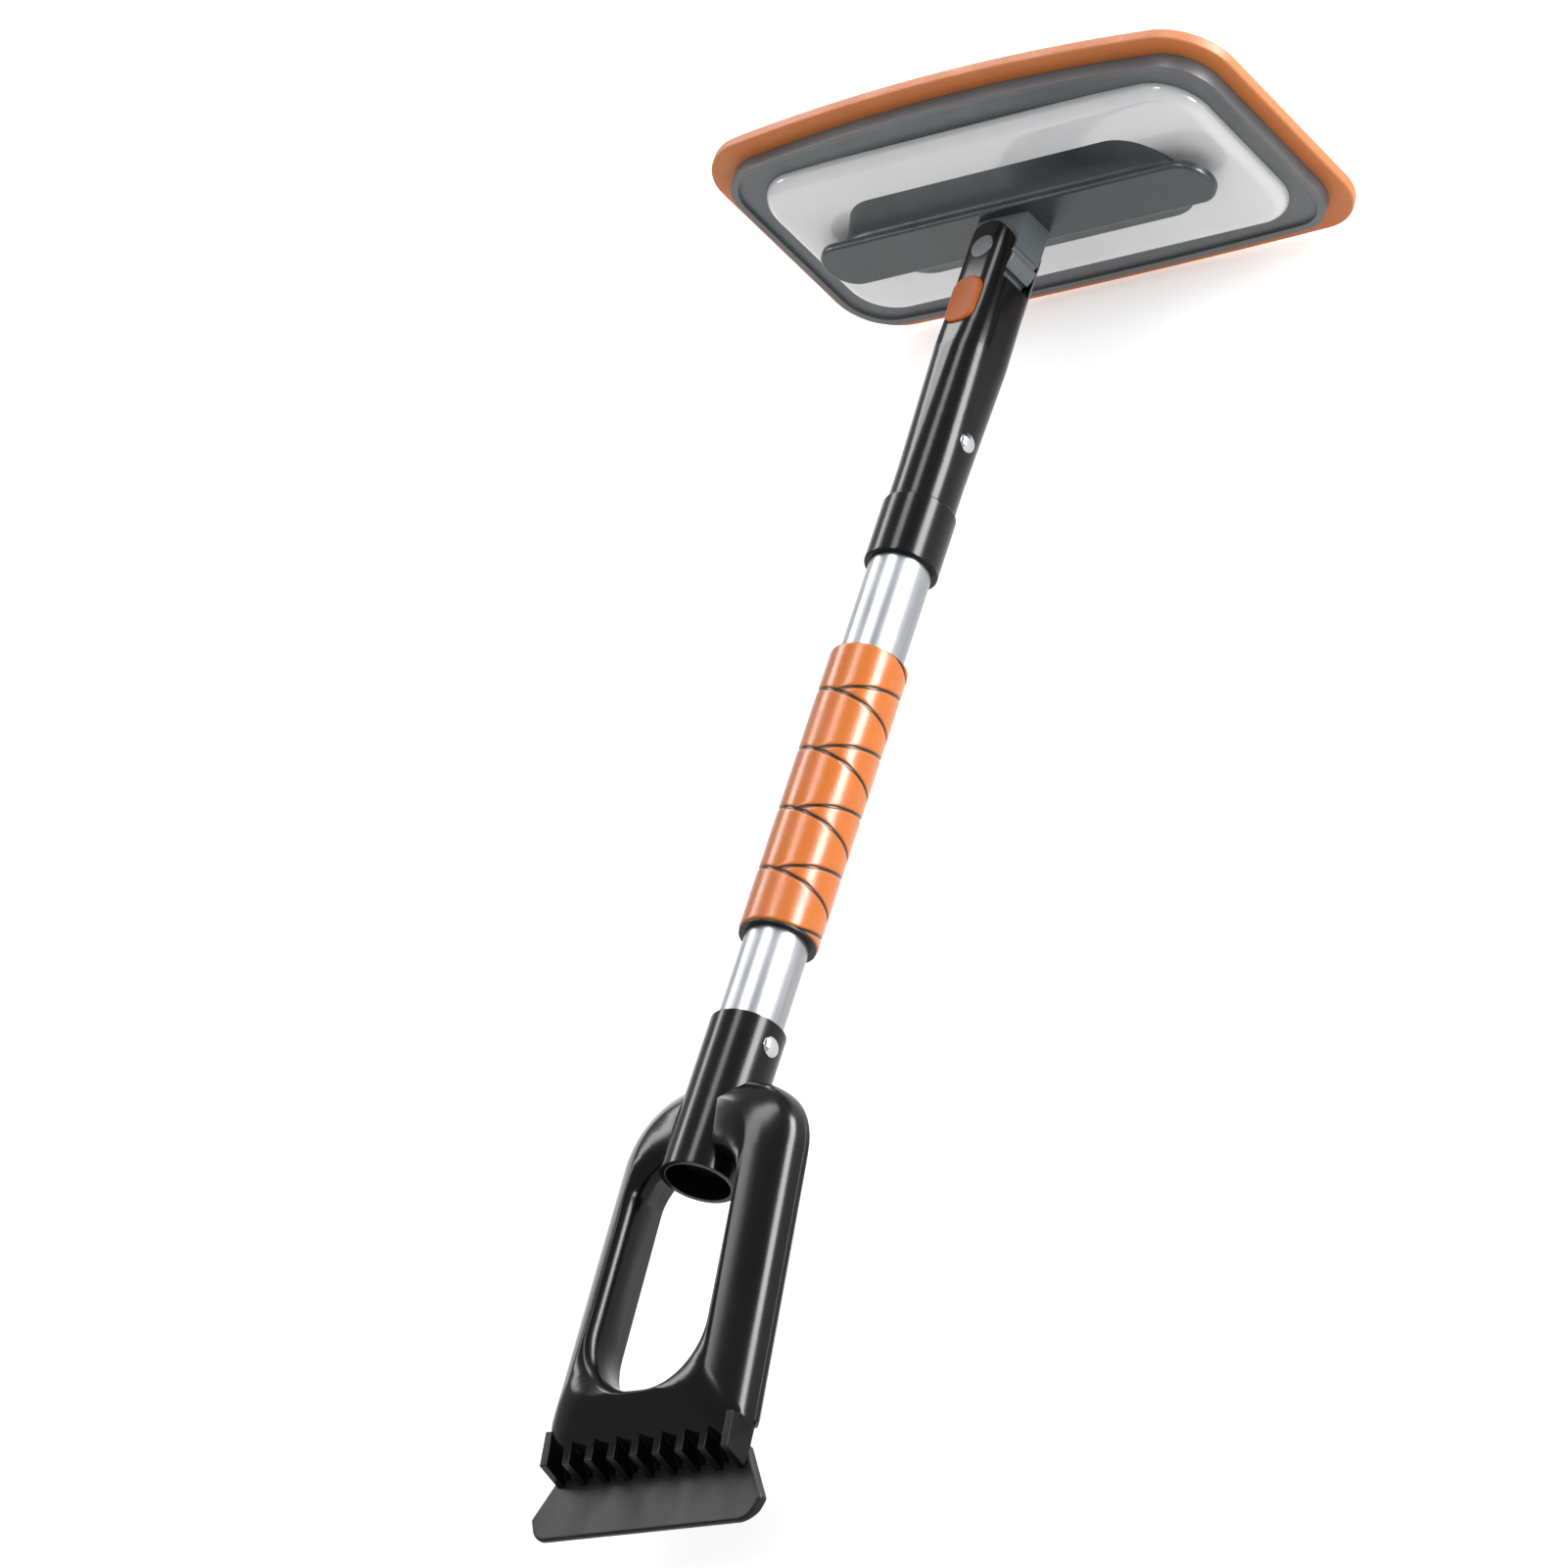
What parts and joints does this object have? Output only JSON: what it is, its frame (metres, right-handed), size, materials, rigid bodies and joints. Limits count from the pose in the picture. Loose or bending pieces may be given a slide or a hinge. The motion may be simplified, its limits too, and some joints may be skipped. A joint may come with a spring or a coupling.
{
  "type": "snow brush scraper",
  "caption": "Snow broom with a tilting foam head on an aluminium pole with a foam grip, and a push-fit D-handle scraper with an ice-breaking tooth row and a flared flat blade.",
  "frame": {"origin": "middle of the grip, on the pole's axis", "axes": "+Y along the pole from the scraper to the head, +X along the head's long side, +Z towards the side with the lock button and the ice-breaking teeth"},
  "size_m": [0.2614, 0.5989, 0.1308],
  "materials": {
    "tube_metal": "satin drawn",
    "black_gloss": "glossy moulded",
    "black_matte": "matte moulded",
    "grip_orange": "satin foam sleeve",
    "foam_orange": "closed-cell foam",
    "plate_grey": "fine textured moulding",
    "cover_light": "glossy moulded",
    "spine_grey": "satin moulded",
    "lug_grey": "satin moulded",
    "button_orange": "satin moulded",
    "steel_chrome": "polished",
    "steel_plain": "plain",
    "cap_grey": "satin moulded"
  },
  "bodies": {
    "pole": {"pole_tube": "tube_metal", "tube_plug": "black_matte", "grip_core": "black_matte", "grip_sleeve": "grip_orange", "yoke_collar": "black_gloss", "yoke": "black_gloss", "pivot_pin": "steel_plain", "pin_caps": "cap_grey", "friction_washers": "steel_plain", "lock_spring": "steel_plain", "head_snap_spring": "steel_plain", "scraper_snap_spring": "steel_plain", "scraper_socket": "black_gloss", "handle_front_shell": "black_gloss", "handle_rear_shell": "black_gloss", "scraper_blade": "black_matte", "handle_screws": "steel_plain", "blade_screws": "steel_plain"},
    "head": {"pivot_lug": "lug_grey", "spine_cap": "spine_grey", "spine_base": "spine_grey", "lug_screws": "steel_plain", "cover_plate": "cover_light", "cover_screws": "steel_plain", "backing_plate": "plate_grey", "foam_pad": "foam_orange"},
    "lock": {"lock_button": "button_orange", "lock_pawl": "steel_plain"},
    "head_snap": {"head_snap_button": "steel_chrome"},
    "scraper_snap": {"scraper_snap_button": "steel_chrome"}
  },
  "joints": [
    {"name": "head_tilt", "type": "hinge", "parent": "pole", "child": "head", "pos_m": [0, 0.253, 0], "axis": [0, 0, 1], "range_deg": [-90, 90]},
    {"name": "lock_press", "type": "slide", "parent": "pole", "child": "lock", "axis": [0, 0, -1], "range_m": [0, 0.003], "stiffness_N_per_m": 600, "springref_m": -0.001, "deforming": ["lock_spring"]},
    {"name": "head_snap_press", "type": "slide", "parent": "pole", "child": "head_snap", "axis": [-1, 0, 0], "range_m": [0, 0.0052], "stiffness_N_per_m": 900, "springref_m": -0.001, "deforming": ["head_snap_spring"]},
    {"name": "scraper_snap_press", "type": "slide", "parent": "pole", "child": "scraper_snap", "axis": [-1, 0, 0], "range_m": [0, 0.0042], "stiffness_N_per_m": 900, "springref_m": -0.001, "deforming": ["scraper_snap_spring"]}
  ]
}
